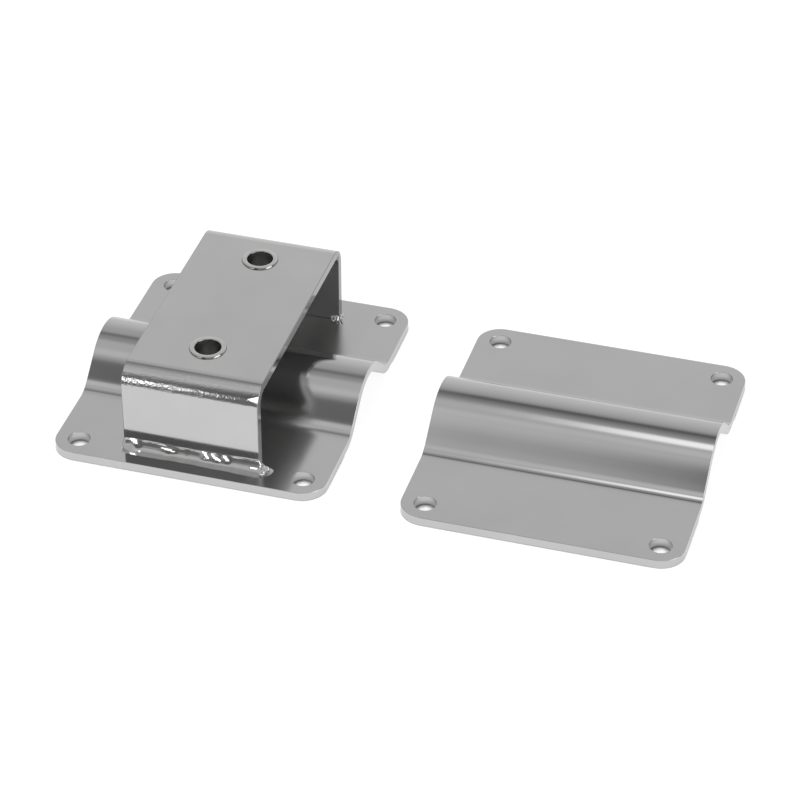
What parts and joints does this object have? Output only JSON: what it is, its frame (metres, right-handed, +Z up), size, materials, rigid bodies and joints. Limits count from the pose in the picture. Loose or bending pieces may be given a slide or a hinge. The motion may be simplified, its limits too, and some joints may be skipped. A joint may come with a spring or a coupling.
{
  "type": "rod holder flange",
  "caption": "Rail clamp flange for a rod holder: a pressed saddle plate with a welded riser bracket and threaded inserts, and its matching clamp plate.",
  "frame": {"origin": "middle of the saddle plate's four bolt holes, on its underside", "axes": "+X along the rail, from the saddle plate to the clamp plate; +Y across the rail, to the rear; +Z up, out of the bracket's top"},
  "size_m": [0.2045, 0.1067, 0.0324],
  "materials": {
    "pressed_sheet": "polished, with fine lines",
    "bent_bar": "polished, rippled along the bends",
    "weld": "rippled bead, electropolished",
    "insert": "turned, bright"
  },
  "bodies": {
    "root": {"saddle_plate": "pressed_sheet", "riser_bracket": "bent_bar", "front_weld": "weld", "rear_weld": "weld", "front_rivet_nut": "insert", "rear_rivet_nut": "insert", "clamp_plate": "pressed_sheet"}
  },
  "joints": []
}
